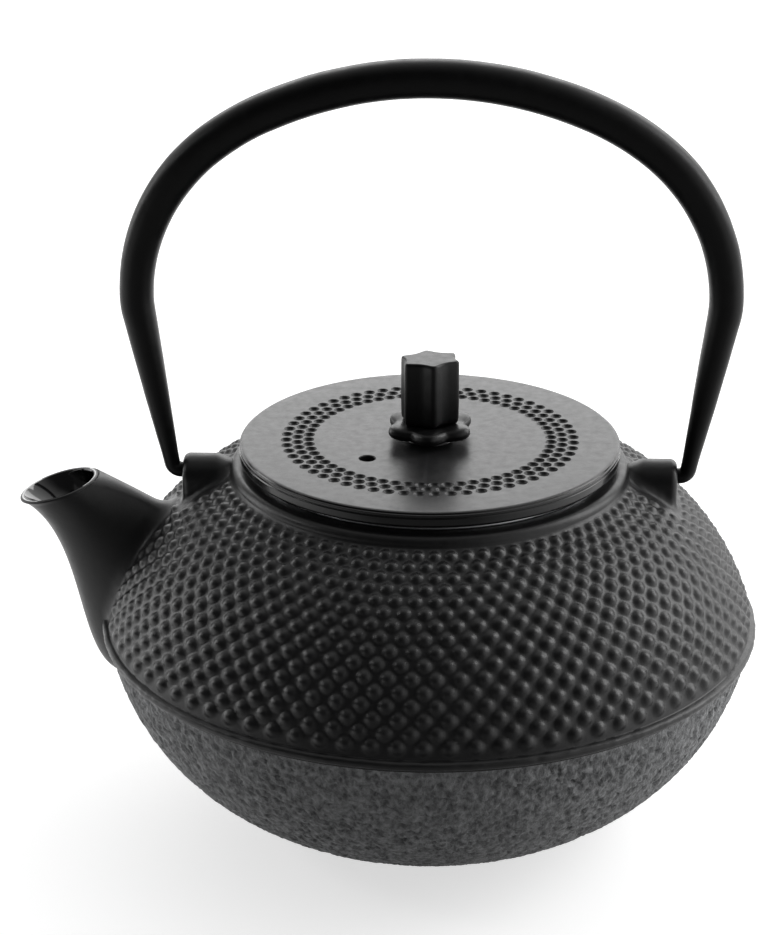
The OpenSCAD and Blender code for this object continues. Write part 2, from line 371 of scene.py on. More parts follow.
def nail_cover(points):
    """How far the nails stand out, from 0 by a lug or the spout to 1."""
    x, y, z = points[..., 0], points[..., 1], points[..., 2]
    past_face = np.maximum(np.abs(x) - LUG_FACE, 0) * 3.5
    past_side = np.maximum(np.abs(y) - LUG_HALF, 0)
    by_lug = smoothstep(2.2, 6.0, np.hypot(past_face, past_side))
    edge = np.interp(z, SPOUT_EDGE_Z, SPOUT_EDGE_Y)
    above = np.maximum(z - SPOUT_EDGE_Z[-1], 0)
    by_spout = smoothstep(-0.6, 1.6, np.abs(y) - edge + above * 1.2)
    return by_lug * np.where(x < 0, by_spout, 1.0)


def nail_height(s, rings):
    """Height of the staggered nails over a grid of surface points."""
    radius = np.hypot(rings[..., 0], rings[..., 1])[:, :1]
    cols = rings.shape[1]
    turn = np.arange(cols) * 360.0 / cols
    total = np.zeros(rings.shape[:2])
    for row in range(NAIL_ROWS):
        share = row / (NAIL_ROWS - 1)
        middle = shoulder_travel(NAIL_FIRST + (NAIL_LAST - NAIL_FIRST) * share)
        pitch = 360.0 / NAILS
        off = (turn / pitch - NAIL_PHASE - 0.5 * (row % 2) + 0.5) % 1.0 - 0.5
        across = off[None] * pitch * np.pi / 180 * radius
        along = np.asarray(s)[:, None] - middle
        half = 2.08 - 0.42 * share
        far = np.hypot(across, along * 1.04) / half
        dome = np.clip(1 - far * far, 0, 1) ** 1.15
        total = np.maximum(total, dome * NAIL_H * (1 - 0.12 * share))
    return total * nail_cover(rings)


def make_shoulder():
    low, high = shoulder_travel(NAILED_FROM), shoulder_travel(NAILED_TO)
    s = np.linspace(low, high, 112)

    def height(s, rings):
        edge = smoothstep(0, 1.5, s - low) * smoothstep(0, 1.0, high - s)
        grain = 0.035 * lumps(rings, 1.9, 3) + 0.02 * lumps(rings, 0.9, 4)
        return (nail_height(s, rings) + grain) * edge[:, None]

    return loft("shoulder_skin", relief(s, COLUMNS, height))


# --- seam, bowl, foot and neck -----------------------------------------------


def make_seam():
    """Bead along the casting's parting line."""
    low, high = -1.9, shoulder_travel(NAILED_FROM)
    s = np.linspace(low, high, 22)

    def height(s, rings):
        d = np.abs(s + 0.05) / BEAD_HALF
        bead = (RIDGE_R - SEAM_R + 0.05) * np.clip(1 - d ** 2.2, 0, 1) ** 0.8
        rough = 0.09 * lumps(rings, 2.2, 11) + 0.05 * lumps(rings, 0.8, 12)
        return bead[:, None] * (0.93 + rough)

    return loft("seam_bead", relief(s, 720, height), sharp=60)


def make_bowl():
    """Rough-cast bowl under the seam, down to the edge of the flat base."""
    s = np.linspace(-1.9, TRAVEL[0], 112)

    def height(s, rings):
        tilt = np.array([[1.0, 0.5, 0.3], [-0.3, 1.0, 0.4], [0.2, -0.5, 0.9]])
        pits = lumps(rings @ tilt, 1.35, 21) * 0.8 + lumps(rings, 0.95, 22) * 0.6
        swell = lumps(rings, 5.0, 23)
        pits = -np.clip(pits + 0.1 + 0.25 * swell, 0, 1)
        fine = lumps(rings, 0.62, 24)
        edge = smoothstep(0, 1.6, -1.9 - s) * smoothstep(0, 1.5, s - TRAVEL[0])
        return (0.8 * pits + 0.16 * fine + 0.1) * edge[:, None]

    return loft("bowl_skin", relief(s, COLUMNS, height))


def make_foot():
    """Flat base that the pot stands on, ground smooth after casting."""
    rim, _ = at_travel(TRAVEL[0])
    profile = [[0, 0.05], [BASE_R - 9, 0.05], [BASE_R - 8, 0.0], [BASE_R, 0.0],
               [(BASE_R + rim[0]) / 2, 0.22], rim, [rim[0] - 0.6, rim[1] + 1.1],
               [BASE_R, 1.6], [0, 1.6]]
    return lathe("foot_disc", profile, 180)


def make_neck():
    """Smooth upper shoulder, the flat neck ring and the mouth's rounded edge."""
    s = np.linspace(shoulder_travel(NAILED_TO), TRAVEL[-1], 16)
    side, _ = at_travel(s)
    inner = [[MOUTH_R + 0.5, NECK_Z], [MOUTH_R + 0.15, NECK_Z - 0.15],
             [MOUTH_R, NECK_Z - 0.5], [MOUTH_R, NECK_Z - 3.2],
             [MOUTH_R + 3, NECK_Z - 2.4]]
    root, root_n = at_travel(s[:1])
    return lathe("neck_ring", np.vstack([side, inner, root - root_n * SKIN]), 360)


def make_lining():
    """Black enamel that coats the cavity."""
    low = -math.asin((BOWL_C[1] - WALL) / (BOWL_R - WALL))
    high = -math.asin((BOWL_C[1] - SEAM_Z) / (BOWL_R - WALL))
    seam = math.asin((SEAM_Z + 1 - SHOULDER_C[1]) / (SHOULDER_R - WALL))
    top = math.acos((MOUTH_R - SHOULDER_C[0]) / (SHOULDER_R - WALL))

    def surface(grow, end):
        a = np.linspace(low, high, 26)
        bowl = BOWL_C + (BOWL_R - WALL + grow) * np.stack([np.cos(a), np.sin(a)], -1)
        b = np.linspace(seam, end, 22)
        arc = SHOULDER_C + (SHOULDER_R - WALL + grow) * np.stack([np.cos(b), np.sin(b)], -1)
        return np.vstack([bowl, arc])

    inner = surface(0, top)
    outer = surface(1.4, top - 0.02)[::-1]
    profile = np.vstack([[[0, WALL]], inner, outer, [[0, WALL - 1.4]]])
    return lathe("enamel_lining", profile, 240)


# --- spout -------------------------------------------------------------------

# Control points [x, height above the seam] of the spout's upper and lower
# outline and of the channel in it, from the lip to the root.
TOP_LINE = [[-83, 36.9], [-78, 35.4], [-70, 31], [-58, 23.5]]
UNDER_LINE = [[-102.7, 31], [-84.5, 20.5], [-92, -19], [-75.5, -17]]
ROOF_LINE = [[-84.2, 36.5], [-79, 34], [-71, 29], [-58, 20]]
FLOOR_LINE = [[-101.5, 31.4], [-86.5, 22.5], [-90, 11], [-74, 4]]
ROOT_RING = [[-50, 20], [-68, -2]]
DRAIN_RING = [[-48, 17], [-62, 6]]
LIP_HALF = 9.6
ROOT_FLARE = 4.5
WAIST = 1.6
LIP_WALL = 1.2
SPOUT_COLS = 120
LIP_BLEND = 9


def spout_rings(high, low, half):
    """Elliptic rings: high and low hold the ends of their long axes."""
    a = np.arange(SPOUT_COLS) * 2 * math.pi / SPOUT_COLS
    middle = (high + low) / 2
    reach = (high - low) / 2
    x = middle[:, :1] + reach[:, :1] * np.cos(a)
    z = middle[:, 1:] + reach[:, 1:] * np.cos(a) + SEAM_Z
    y = half[:, None] * np.sin(a)
    return np.stack([x, y, z], -1)


def spout_half(t):
    """Half width of the spout at a share t of the way along it."""
    return LIP_HALF - WAIST * 4 * t * (1 - t) + ROOT_FLARE * t * t


def spout_outer():
    t = np.linspace(0, 1, 180)
    rings = spout_rings(bezier(TOP_LINE, t), bezier(UNDER_LINE, t),
                        spout_half(t))
    root = spout_rings(np.array([ROOT_RING[0]], float), np.array([ROOT_RING[1]], float),
                       np.array([LIP_HALF + ROOT_FLARE]))
    k = np.linspace(0, 1, 40)[1:, None, None]
    return np.concatenate([rings, rings[-1] * (1 - k) + root[0] * k])


def spout_inner(grow=0.0):
    half = LIP_HALF - LIP_WALL
    t = np.linspace(0, 1, 120)
    rings = spout_rings(bezier(ROOF_LINE, t), bezier(FLOOR_LINE, t),
                        spout_half(t) - LIP_WALL - ROOT_FLARE * t * t / 2)
    drain = spout_rings(np.array([DRAIN_RING[0]], float),
                        np.array([DRAIN_RING[1]], float), np.array([half]))
    k = np.linspace(0, 1, 40)[1:, None, None]
    rings = np.concatenate([rings, rings[-1] * (1 - k) + drain[0] * k])
    middle = rings.mean(1, keepdims=True)
    away = rings - middle
    return rings + away / np.linalg.norm(away, axis=-1)[..., None] * grow


def resample(path, count):
    """Evenly spaced points along a path."""
    gaps = np.linalg.norm(np.diff(path, axis=0), axis=1)
    travel = np.concatenate([[0], np.cumsum(gaps)])
    s = np.linspace(0, travel[-1], count)
    return np.stack([np.interp(s, travel, path[:, i]) for i in range(3)], -1)


def cut_path(path, inside):
    """Path up to where inside turns negative, with the crossing point added."""
    k = int(np.argmax(inside < 0))
    f = inside[k - 1] / (inside[k - 1] - inside[k])
    return np.vstack([path[:k], path[k - 1] + f * (path[k] - path[k - 1])])


def settle(paths, away, reach, rise, rows, fillet_rows=10, dive=1.1):
    """Brings columns of a boss down onto the pot through a fillet.

    paths is (rows, columns, 3), running from the boss's top into the pot.
    Each column leaves the boss at rise before it meets the pot and lands at
    reach beyond, and then dives into the wall.
    """
    gap, _ = body_gap(paths)
    out = []
    for c in range(paths.shape[1]):
        if gap[0, c] < 0.02:
            hidden = resample(paths[:14, c], rows + fillet_rows)
            out.append(hidden)
            continue
        path = cut_path(paths[:, c], gap[:, c])
        meet = path[-1]
        back = np.linalg.norm(path - meet, axis=1)
        keep = path[:max(2, int(np.argmax(back < rise[c])))]
        _, normal = body_gap(meet)
        along = away[c] - normal * (away[c] @ normal)
        along /= np.linalg.norm(along)
        land = meet + along * reach[c]
        for _ in range(3):
            off, normal = body_gap(land)
            land = land - normal * off
        start = keep[-1]
        ahead = start - keep[-2]
        ahead /= np.linalg.norm(ahead)
        lean = np.linalg.norm(meet - start)
        curve = bezier([start, start + ahead * lean * 0.62,
                        land - along * reach[c] * 0.62, land],
                       np.linspace(0, 1, fillet_rows)[1:])
        out.append(np.vstack([resample(keep, rows), curve, land - normal * dive]))
    return np.array(out).transpose(1, 0, 2)


def make_spout():
    """Spout with its fairing, its thin lip and the enamelled channel."""
    outer = spout_outer()
    middle = outer.mean(1)
    a = np.arange(SPOUT_COLS) * 360.0 / SPOUT_COLS
    side = np.minimum(a, 360 - a)
    reach = np.interp(side, [0, 50, 100, 125, 150, 168, 180],
                      [4.0, 2.8, 2.4, 2.8, 3.4, 3.6, 3.6])
    rise = np.interp(side, [0, 50, 100, 125, 150, 168, 180],
                     [4.5, 4.0, 4.0, 4.2, 4.4, 4.5, 4.5])
    near = np.abs(body_gap(outer)[0]).argmin(0)
    away = outer[near, np.arange(SPOUT_COLS)] - middle[near]
    skirt = settle(outer[6:], away, reach, rise, 70)
    inner = spout_inner()
    gap, _ = body_gap(inner)
    tube = np.array([resample(cut_path(inner[8:, c], gap[8:, c] + WALL - 0.4), 50)
                     for c in range(SPOUT_COLS)]).transpose(1, 0, 2)
    lip = spout_rings(bezier(TOP_LINE, [0.0]), bezier(UNDER_LINE, [0.0]),
                      np.array([LIP_HALF]))[0]
    bore = inner[0]
    across = lip[0] - lip[SPOUT_COLS // 2]
    out = np.cross(across, [0, 1, 0])
    out /= np.linalg.norm(out)
    if out[2] < 0:
        out = -out
    crest = bore * 0.38 + lip * 0.62
    deep = tube[LIP_BLEND]
    ahead = tube[LIP_BLEND + 3] - deep
    ahead /= np.linalg.norm(ahead, axis=-1)[:, None]
    brim = bore * 0.92 + lip * 0.08 - out * 0.42
    chord = deep - brim
    reach_in = np.linalg.norm(chord, axis=-1)[:, None]
    funnel = np.stack([bezier([brim, brim + chord * 0.35, deep - ahead * 0.35 * reach_in,
                               deep], t) for t in np.linspace(0, 1, 9)[:-1]])
    edge = [bore * 0.8 + lip * 0.2 - out * 0.12, crest, bore * 0.1 + lip * 0.9 - out * 0.16,
            lip - out * 0.5]
    tube = np.concatenate([funnel, tube[LIP_BLEND:]])
    rings = np.concatenate([tube[::-1], edge, skirt])
    spout = loft("spout_shell", rings)
    return spout, len(tube) + 1


def channel_cutter():
    rings = spout_inner(0.35)[20:]
    return loft("cutter", rings, closed=False)


# --- lugs --------------------------------------------------------------------


def lug_paths():
    """Columns of the +X lug, from the ridge along its top down into the pot."""
    crown = LUG_TOP - LUG_HALF
    edge = 1.7
    inner = 46.5
    slope_x = 53.2
    side_x = np.linspace(inner, LUG_FACE - edge, 26)
    front = np.cos(np.linspace(0, math.pi, 29))
    back = np.linspace(-1, 1, 9)[1:-1]
    rows = []
    for angle in np.linspace(90, 0, 34):
        half = LUG_HALF * math.cos(math.radians(angle))
        rise = LUG_HALF * math.sin(math.radians(angle))
        rows.append((half, crown + rise, rise))
    for z in np.linspace(crown, SEAM_Z + 18, 60)[1:]:
        rows.append((LUG_HALF, z, 0.0))
    out = []
    for half, z, rise in rows:
        y = front * half
        d = LUG_HALF - np.hypot(y, rise)
        d = np.clip(edge - d, 0, edge)
        x = LUG_FACE - edge + np.sqrt(np.maximum(edge * edge - d * d, 0))
        plus = np.stack([side_x, np.full(26, half), np.full(26, z)], -1)[:-1]
        face = np.stack([x, y, np.full(29, z)], -1)
        minus = plus[::-1] * [1, -1, 1]
        end = np.stack([np.full(7, inner), back * half, np.full(7, z)], -1)
        loop = np.vstack([plus, face, minus, end])
        low = np.maximum(slope_x - loop[:, 0], 0)
        sag = 0.52 * low * low / (low + 1.2)
        loop[:, 2] -= sag * rise / LUG_HALF
        out.append(loop)
    return np.array(out)


def make_lug(name, side):
    paths = lug_paths()
    count = paths.shape[1]
    plan = paths[-1]
    around = np.roll(plan, -1, 0) - np.roll(plan, 1, 0)
    away = np.stack([around[:, 1], -around[:, 0], np.zeros(count)], -1)
    centre = plan.mean(0)
    away *= np.sign(((plan - centre) * away).sum(-1))[:, None]
    away /= np.linalg.norm(away, axis=1)[:, None]
    reach = np.full(count, 2.4)
    face = plan[:, 0] > LUG_FACE - 1.0
    reach[face] = 1.5
    rings = settle(paths, away, reach, reach * 1.1, 40)
    if side < 0:
        rings = rings * [-1, -1, 1]
    lug = loft(name, rings, closed=False, caps=(1,))
    bore = drills([[side * (LUG_FACE - 8), 0, PIVOT_Z]], [[side, 0, 0]],
                  [[1.96, 0], [1.96, 7.75], [2.3, 8.1], [2.3, 12]], 48)
    punch(lug, bore)
    return lug


# --- handle ------------------------------------------------------------------

# Half of the bail from its top to the right-hand bend, as arcs
# [radius, turn in degrees], and then a straight leg and a tight hook.
BAIL_ARCS = [[96, 25], [63, 13.5], [48.5, 50.5], [26, 11]]
BAIL_HALF = 4.6
BAIL_LEG = 40.0
HOOK_R = 2.4
PIN_R = 1.9


def bail_line():
    """Stations [x, z, heading below the horizontal, travel] of half a bail."""
    line = [[0.0, handle_high[2] - BAIL_HALF, 0.0, 0.0]]

    def turn(radius, degrees, count):
        x, z, h, s = line[-1]
        for k in range(1, count + 1):
            g = h + degrees * k / count
            line.append([x + radius * (math.sin(math.radians(g)) - math.sin(math.radians(h))),
                         z + radius * (math.cos(math.radians(g)) - math.cos(math.radians(h))),
                         g, s + radius * math.radians(g - h)])

    for radius, degrees in BAIL_ARCS:
        turn(radius, degrees, max(6, round(radius * degrees / 90)))
    x, z, h, s = line[-1]
    for k in range(1, 29):
        d = BAIL_LEG * k / 28
        line.append([x + d * math.cos(math.radians(h)), z - d * math.sin(math.radians(h)),
                     h, s + d])
    turn(HOOK_R, 180 - line[-1][2], 12)
    return np.array(line)


def make_handle():
    """Bail of rounded square section that tapers to the pins in its ends."""
    line = bail_line()
    share = line[:, 3] / line[-1, 3]
    half = np.interp(share, [0, 0.45, 0.7, 0.85, 0.96, 1],
                     [BAIL_HALF, BAIL_HALF, 4.1, 3.0, 2.0, PIN_R])
    wide = half * np.interp(share, [0, 0.75, 0.85, 1], [1.06, 1.06, 1.0, 1.0])
    square = np.interp(share, [0, 0.8, 0.95, 1], [2.35, 2.3, 2.05, 2.0])
    a = np.radians(np.arange(44) * 360 / 44)
    rings = []
    for (x, z, h, s), p, q, n in zip(line, half, wide, square):
        c, d = np.cos(a), np.sin(a)
        u = p * np.sign(c) * np.abs(c) ** (2 / n)
        v = q * np.sign(d) * np.abs(d) ** (2 / n)
        h = math.radians(h)
        rings.append(np.stack([x + u * math.sin(h), v, z + u * math.cos(h)], -1))
    end = line[-1]
    for x, r in ((60.0, PIN_R), (57.0, PIN_R), (54.4, PIN_R), (54.0, 1.75), (53.85, 1.4)):
        rings.append(np.stack([np.full(44, x), r * np.sin(a),
                               PIVOT_Z - r * np.cos(a)], -1))
    rings = np.array(rings)
    low = smoothstep(0.97, 1.0, share)
    rings[:len(line), :, 2] += (low * (PIVOT_Z - end[1]))[:, None]
    left = rings[:0:-1] * [-1, 1, 1]
    grain = np.concatenate([left, rings])
    middle = grain.mean(1, keepdims=True)
    away = grain - middle
    away /= np.linalg.norm(away, axis=-1)[..., None]
    grain = grain + away * (0.05 * lumps(grain, 7, 31) + 0.02 * lumps(grain, 2.5, 32))[..., None]
    return loft("bail_bar", grain, closed=False)


# --- lid ---------------------------------------------------------------------

DIMPLES = 60
DIMPLE_RINGS = [[35.5, 0.0], [32.75, 0.5], [30.0, 0.0]]
DIMPLE_PHASE = 141.4
STEAM_AT = 20.3
STEAM_TURN = 223.0
STEAM_R = 1.95


def make_lid():
    r = lid_high[0]
    top = lid_high[2]
    low = top - 4.0
    seat = low - 0.9
    foot = lid_low[2]
    profile = rounded([
        [2.6, top, 0], [r - 1.0, top, 0.3], [r - 0.55, top - 0.18, 0.12],
        [r - 0.4, top - 0.75, 0.1], [r - 0.05, top - 0.85, 0.12],
        [r - 0.05, top - 1.35, 0.1], [r - 0.18, top - 1.5, 0.08], [r, top - 1.75, 0.15],
        [r, low + 0.5, 0.3], [r - 0.5, low, 0.3], [44.5, low, 0.2], [44.5, seat, 0.3],
        [37.9, seat, 0.4], [37.9, foot, 0.8], [35.2, foot, 0.8], [35.2, seat + 1, 0.6],
        [2.6, seat + 1, 0]], 4)
    crown = 0.22 * smoothstep(0, r, profile[:, 0])
    profile[:, 1] -= np.where(profile[:, 1] > top - 0.5, crown, 0)
    lid = lathe("lid_cast", profile, 300, sharp=30)
    spots = []
    for radius, shift in DIMPLE_RINGS:
        for k in range(DIMPLES):
            a = math.radians(DIMPLE_PHASE + (k + shift) * 360 / DIMPLES)
            level = top - 0.22 * smoothstep(0, r, radius)
            spots.append([radius * math.cos(a), radius * math.sin(a), level])
    down = [[0, 0, -1]] * len(spots)
    hollow = [[1.8, -1.0], [1.52, -0.05], [1.37, 0.06], [1.27, 0.22], [1.1, 0.48],
              [0.8, 0.7], [0.35, 0.8]]
    punch(lid, drills(spots, down, hollow, 16), sharp=30)
    a = math.radians(STEAM_TURN)
    steam = drills([[STEAM_AT * math.cos(a), STEAM_AT * math.sin(a), top]], [[0, 0, -1]],
                   [[2.6, -1.0], [STEAM_R + 0.3, 0.0], [STEAM_R, 0.3], [STEAM_R, 9.0]], 48)
    punch(lid, steam, sharp=30)
    return lid


# --- knob, its seat and the washer -------------------------------------------

KNOB_R = 7.7
NOTCH_R = 5.6
KNOB_TURN = 11.0
TAIL_R = 2.5


def knob_outline():
    corners = []
    for i in range(12):
        r = KNOB_R if i % 2 == 0 else NOTCH_R
        a = math.radians(30 * i - 90)
        corners.append([1.06 * r * math.cos(a), 0.86 * r * math.sin(a),
                        1.25 if i % 2 == 0 else 1.4])
    return rounded(corners, 7)


def make_knob():
    """Star prism with rounded points, soft top edges and a peened tail."""
    outline = knob_outline()
    a = math.radians(KNOB_TURN)
    outline = outline @ np.array([[math.cos(a), math.sin(a)], [-math.sin(a), math.cos(a)]])
    around = np.roll(outline, -1, 0) - np.roll(outline, 1, 0)
    out = np.stack([around[:, 1], -around[:, 0]], -1)
    out /= np.linalg.norm(out, axis=1)[:, None]
    top = knob_high[2]
    foot = seat_high[2]
    rings = []
    for inset, z in ((1.8, foot - 0.5), (1.0, foot - 0.3), (0.5, foot), (0.2, foot + 0.5),
                     (0.06, foot + 1.3), (0.0, foot + 6), (0.0, top - 2.5), (0.02, top - 0.9),
                     (0.08, top - 0.45), (0.2, top - 0.2), (0.38, top - 0.05), (0.55, top)):
        flat = outline - out * inset
        rings.append(np.concatenate([flat, np.full((len(flat), 1), z)], -1))
    brim = rings[-1]
    for scale in (0.97, 0.8, 0.5, 0.2):
        rings.append(brim * [scale, scale, 1])
    tail = np.arctan2(rings[0][:, 1], rings[0][:, 0])
    low = knob_low[2]
    for r, z in ((TAIL_R, foot - 1.4), (TAIL_R, low + 1.0), (3.3, low + 0.95), (3.1, low + 0.3),
                 (2.4, low)):
        rings.insert(0, np.stack([r * np.cos(tail), r * np.sin(tail),
                                  np.full(len(tail), z)], -1))
    return loft("knob_star", rings, closed=False, sharp=32)


SEAT_THICK = 3.1


def make_seat():
    """Round foot that carries a thin rosette of six rolled petals."""
    low = seat_low[2]
    high = seat_high[2]
    cols = 216
    a = np.radians(np.arange(cols) * 360 / cols)
    petal = 0.5 + 0.5 * np.cos(6 * (a - math.pi / 6))
    uneven = 0.35 * lumps(np.stack([7 * np.cos(a), 7 * np.sin(a), a * 0], -1), 5.0, 41)
    tip = 8.9 + (2.4 + uneven) * petal ** 0.8
    waist = 5.6
    rows = smooth_line([
        [0.05, 0.0], [0.0, 0.35], [0.0, 0.75], [0.35, 1.0], [0.8, 0.98], [0.97, 0.72],
        [1.0, 0.45], [0.93, 0.16], [0.76, 0.02], [0.5, 0.0], [0.25, 0.03], [0.0, 0.08]], 5)
    rings = []
    for count, (k, drop) in enumerate(rows):
        under = count < 15
        level = low + (high - SEAT_THICK - low) * drop if under else high - SEAT_THICK * drop
        r = waist + (tip - waist) * k
        fold = 0.55 * (1 - petal) * np.clip(k, 0, 1) * (0 if under else 1)
        rings.append(np.stack([r * np.cos(a), r * np.sin(a),
                               level - fold * (1 - drop)], -1))
    core = turned([[5.0, high - 0.6], [2.6, high - 0.6], [2.6, low + 0.3], [3.2, low]], cols)
    return loft("petal_seat", np.concatenate([rings, core]), sharp=50)


def make_washer():
    low, high = box_mm("knob_washer")
    r = high[0]
    return lathe("washer_disc", rounded([
        [TAIL_R + 0.1, low[2], 0.1], [r, low[2], 0.25], [r, high[2], 0.15],
        [TAIL_R + 0.1, high[2], 0.1]], 3), 72)


# --- infuser -----------------------------------------------------------------


def make_infuser_rim():
    low, high = box_mm("infuser_rim")
    inner = box_mm("infuser_wall")[1][0] - 0.5
    r = high[0]
    z, t = low[2], high[2] - low[2]
    return lathe("basket_rim", rounded([
        [inner, z, 0.15], [r - 0.8, z, 0.2], [r, z + 0.02, 0.15], [r, z + t, 0.2],
        [r - 1.0, z + t, 0.3], [r - 1.6, z + t - 0.12, 0.2], [inner + 1.2, z + t - 0.12, 0.2],
        [inner + 0.4, z + t, 0.15], [inner, z + t - 0.1, 0.15]], 3), 240, sharp=50)


def make_infuser_wall():
    """Rolled sheet with staggered rows of small holes."""
    low, high = box_mm("infuser_wall")
    r = high[0]
    sheet = 0.5
    wall = lathe("basket_wall", rounded([
        [r - sheet, low[2], 0.1], [r, low[2], 0.1], [r, high[2], 0.1],
        [r - sheet, high[2], 0.1]], 2), 288)
    spots, axes = [], []
    rows, around = 17, 108
    first, last = low[2] + 8.5, high[2] - 4.5
    for i in range(rows):
        z = first + (last - first) * i / (rows - 1)
        for k in range(around):
            a = 2 * math.pi * (k + 0.5 * (i % 2)) / around
            axes.append([math.cos(a), math.sin(a), 0])
            spots.append([(r - 1.2) * math.cos(a), (r - 1.2) * math.sin(a), z])
    punch(wall, drills(spots, axes, [[0.62, 0], [0.62, 2.2]], 8))
    return wall


def make_infuser_hoop():
    low, high = box_mm("infuser_hoop")
    r = high[0]
    z = low[2]
    inner = box_mm("infuser_wall")[1][0]
    return lathe("basket_hoop", rounded([
        [inner - 4, z, 0.15], [r, z, 0.35], [r, high[2], 0.15], [inner + 0.05, high[2], 0.12],
        [inner + 0.05, z + 0.5, 0.1], [inner - 4, z + 0.5, 0.15]], 3), 240)


def make_infuser_base():
    """Disc with holes on a triangular grid."""
    low, high = box_mm("infuser_base")
    r = high[0]
    base = lathe("basket_base", [[0, low[2]], [r - 0.1, low[2]], [r, low[2] + 0.1],
                                  [r, high[2] - 0.1], [r - 0.1, high[2]], [0, high[2]]], 180)
    pitch = 2.4
    spots = []
    for i in range(-16, 17):
        for j in range(-16, 17):
            x = pitch * (i + 0.5 * (j % 2))
            y = pitch * 0.866 * j
            if math.hypot(x, y) < r - 5.5:
                spots.append([x, y, low[2] - 1])
    punch(base, drills(spots, [[0, 0, 1]] * len(spots), [[0.62, 0], [0.62, 3]], 8))
    return base


# --- materials ---------------------------------------------------------------


class Shader:
    """A material being built: a Principled shader and the nodes that feed it."""

    def __init__(self, name):
        self.material = bpy.data.materials.new(name)
        self.material.use_nodes = True
        self.nodes = self.material.node_tree.nodes
        self.links = self.material.node_tree.links
        self.main = self.nodes["Principled BSDF"]
        self.place = self.nodes.new("ShaderNodeTexCoord").outputs["Object"]

    def set(self, **values):
        for key, value in values.items():
            self.main.inputs[key.replace("_", " ")].default_value = value

    def noise(self, per_metre, detail=4.0, rough=0.55, stretch=None):
        source = self.place
        if stretch:
            scale = self.nodes.new("ShaderNodeMapping")
            scale.inputs["Scale"].default_value = stretch
            self.links.new(source, scale.inputs["Vector"])
            source = scale.outputs["Vector"]
        node = self.nodes.new("ShaderNodeTexNoise")
        node.inputs["Scale"].default_value = per_metre
        node.inputs["Detail"].default_value = detail
        node.inputs["Roughness"].default_value = rough
        self.links.new(source, node.inputs["Vector"])
        return node.outputs["Fac"]

    def ramp(self, source, stops):
        node = self.nodes.new("ShaderNodeValToRGB")
        ramp = node.color_ramp
        while len(ramp.elements) < len(stops):
            ramp.elements.new(0.5)
        for element, (at, colour) in zip(ramp.elements, stops):
            element.position = at
            element.color = tuple(colour) + (1.0,) if len(colour) == 3 else colour
        self.links.new(source, node.inputs["Fac"])
        return node.outputs["Color"]

    def span(self, source, low, high, out_low, out_high):
        node = self.nodes.new("ShaderNodeMapRange")
        for key, value in (("From Min", low), ("From Max", high),
                           ("To Min", out_low), ("To Max", out_high)):
            node.inputs[key].default_value = value
        self.links.new(source, node.inputs["Value"])
        return node.outputs["Result"]

    def mix(self, factor, first, second):
        node = self.nodes.new("ShaderNodeMix")
        node.data_type = "RGBA"
        self.links.new(factor, node.inputs["Factor"])
        for key, value in ((6, first), (7, second)):
            if isinstance(value, tuple):
                node.inputs[key].default_value = value + (1.0,)
            else:
                self.links.new(value, node.inputs[key])
        return node.outputs[2]

    def bump(self, *layers):
        """Stacks (height, strength, distance in metres) layers."""
        before = None
        for source, strength, distance in layers:
            node = self.nodes.new("ShaderNodeBump")
            node.inputs["Strength"].default_value = strength
            node.inputs["Distance"].default_value = distance
            self.links.new(source, node.inputs["Height"])
            if before:
                self.links.new(before, node.inputs["Normal"])
            before = node.outputs["Normal"]
        self.links.new(before, self.main.inputs["Normal"])

    def feed(self, socket, source):
        self.links.new(source, self.main.inputs[socket])


def iron(name, dark, pale, rough, grain, worn=0.25, shine=0.35):
    """Black-finished cast iron: fine grain, cloudy tone, paler worn edges."""
    m = Shader(name)
    cloud = m.noise(45, 5, 0.6)
    tone = m.ramp(cloud, [(0.35, dark), (0.68, pale)])
    point = m.nodes.new("ShaderNodeNewGeometry").outputs["Pointiness"]
    edge = m.span(point, 0.53, 0.62, 0.0, worn)
    worn_tone = tuple(min(1.0, 3.2 * c + 0.01) for c in pale)
    m.feed("Base Color", m.mix(edge, tone, worn_tone))
    m.feed("Roughness", m.span(m.noise(420, 6, 0.65), 0.3, 0.7, rough - 0.06, rough + 0.07))
    m.set(Specular_IOR_Level=shine)
    m.bump((m.noise(1900, 5, 0.7), grain, 0.00012), (m.noise(420, 3, 0.5), grain * 0.7, 0.0003))
    return m.material


def rough_iron_painted_shade_and_highlights(name, dark, pale):
    """Sand-cast iron left rough: painted shade darkens the pits and painted highlight specks
    pale the high spots, which are also smoother where rubbed.
    """
    m = Shader(name)
    grit = m.noise(620, 5, 0.62, (1.0, 1.3, 0.75))
    fine = m.noise(1700, 4, 0.7)
    cloud = m.noise(30, 4, 0.6)
    # Painted shade and painted highlights: the colour is darker in the pits and paler on the
    # high spots of the same grit that makes the bump.
    tone = m.ramp(grit, [(0.36, dark), (0.5, tuple(0.5 * (a + b) for a, b in zip(dark, pale))),
                         (0.64, pale)])
    dull = tuple(0.55 * c for c in pale)
    m.feed("Base Color", m.mix(m.span(cloud, 0.35, 0.7, 0.0, 0.5), tone, dull))
    m.feed("Roughness", m.span(grit, 0.3, 0.7, 0.62, 0.46))
    m.set(Specular_IOR_Level=0.42)
    m.bump((grit, 1.0, 0.001), (fine, 0.6, 0.0002))
    return m.material


def enamel(name):
    """Glossy black enamel with a slight orange-peel ripple."""
    m = Shader(name)
    m.feed("Base Color", m.ramp(m.noise(60), [(0.3, (0.004, 0.004, 0.0045)),
                                              (0.7, (0.009, 0.009, 0.01))]))
    m.feed("Roughness", m.span(m.noise(300), 0.3, 0.7, 0.07, 0.13))
    m.set(Specular_IOR_Level=0.6, Coat_Weight=0.5, Coat_Roughness=0.05)
    m.bump((m.noise(260, 2, 0.4), 0.12, 0.0004))
    return m.material


